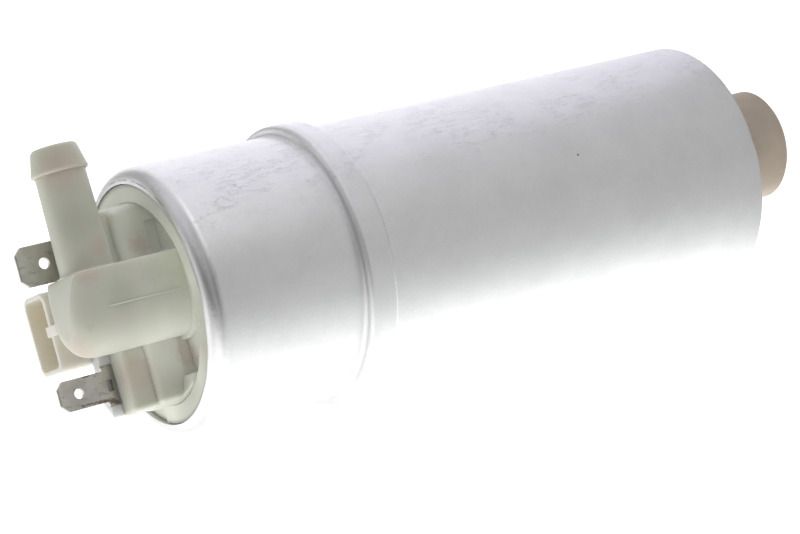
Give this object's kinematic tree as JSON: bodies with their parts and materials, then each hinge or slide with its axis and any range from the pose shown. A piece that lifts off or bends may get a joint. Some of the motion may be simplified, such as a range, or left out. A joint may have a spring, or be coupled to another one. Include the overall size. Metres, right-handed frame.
{
  "type": "electric fuel pump",
  "caption": "Electric in-tank fuel pump: crimped metal can with a gerotor stage and brushed motor, plastic outlet cap with a barbed side stub, blade terminals and a keyed plug guide.",
  "frame": {"origin": "on the can's axis, at the can's suction rim", "axes": "+Z along the can from the suction end to the outlet end, +X the way the hose stub points"},
  "size_m": [0.0495, 0.046, 0.1369],
  "materials": {
    "can_alloy": "satin",
    "cover_plastic": "matt",
    "seal_rubber": "matt",
    "sintered_steel": "satin",
    "coupling_plastic": "matt",
    "bronze": "satin",
    "steel": "satin",
    "ferrite": "matt",
    "copper": "satin",
    "carbon": "matt",
    "spring_steel": "satin",
    "cap_plastic": "satin",
    "plate_plastic": "satin",
    "tinned_brass": "satin",
    "guide_plastic": "satin",
    "valve_brass": "satin",
    "valve_plastic": "matt"
  },
  "bodies": {
    "housing": {"can": "can_alloy", "check_valve_seat": "valve_brass", "check_valve_spring": "spring_steel", "connector_shroud": "guide_plastic", "dowel_pin_1": "steel", "dowel_pin_2": "steel", "flux_ring": "steel", "inlet_cover": "cover_plastic", "inlet_seal": "seal_rubber", "lower_bearing": "bronze", "magnet_clip_back": "steel", "magnet_clip_front": "steel", "magnet_left": "ferrite", "magnet_right": "ferrite", "negative_blade": "tinned_brass", "negative_brush_lead": "copper", "negative_brush_spring": "spring_steel", "outlet_cap": "cap_plastic", "outlet_seal": "seal_rubber", "port_plate": "sintered_steel", "positive_blade": "tinned_brass", "positive_brush_lead": "copper", "positive_brush_spring": "spring_steel", "pump_ring": "sintered_steel", "relief_plug": "valve_brass", "relief_spring": "spring_steel", "suction_nipple": "cover_plastic", "terminal_plate": "plate_plastic", "upper_bearing": "bronze"},
    "armature": {"armature_shaft": "steel", "armature_core": "steel", "armature_winding": "copper", "commutator_hub": "coupling_plastic", "inner_rotor": "sintered_steel", "drive_coupling": "coupling_plastic", "commutator_segment_1": "copper", "commutator_segment_2": "copper", "commutator_segment_3": "copper", "commutator_segment_4": "copper", "commutator_segment_5": "copper", "commutator_segment_6": "copper", "commutator_segment_7": "copper", "commutator_segment_8": "copper"},
    "outer_rotor": {"outer_rotor": "sintered_steel"},
    "check_valve": {"check_valve_poppet": "valve_plastic"},
    "relief_valve": {"relief_ball": "steel"},
    "positive_brush": {"positive_brush": "carbon"},
    "negative_brush": {"negative_brush": "carbon"}
  },
  "joints": [
    {"name": "armature_spin", "type": "hinge", "parent": "housing", "child": "armature", "pos_m": [0, 0, 0.049], "axis": [0, 0, 1], "continuous": true},
    {"name": "outer_rotor_spin", "type": "hinge", "parent": "housing", "child": "outer_rotor", "pos_m": [0.0013, 0, 0.013], "axis": [0, 0, 1], "continuous": true},
    {"name": "check_valve_lift", "type": "slide", "parent": "housing", "child": "check_valve", "axis": [0, 0, 1], "range_m": [0, 0.0015], "stiffness_N_per_m": 100, "springref_m": -0.004, "deforming": ["check_valve_spring"]},
    {"name": "relief_valve_lift", "type": "slide", "parent": "housing", "child": "relief_valve", "axis": [0, 0, 1], "range_m": [0, 0.0008], "stiffness_N_per_m": 1500, "springref_m": -0.002, "deforming": ["relief_spring"]},
    {"name": "positive_brush_lift", "type": "slide", "parent": "housing", "child": "positive_brush", "axis": [0, 0, 1], "range_m": [0, 0.003], "stiffness_N_per_m": 150, "springref_m": -0.01, "deforming": ["positive_brush_spring", "positive_brush_lead"]},
    {"name": "negative_brush_lift", "type": "slide", "parent": "housing", "child": "negative_brush", "axis": [0, 0, 1], "range_m": [0, 0.003], "stiffness_N_per_m": 150, "springref_m": -0.01, "deforming": ["negative_brush_spring", "negative_brush_lead"]}
  ],
  "couplings": [
    {"joint": "outer_rotor_spin", "follows": "armature_spin", "ratio": 0.85714}
  ]
}
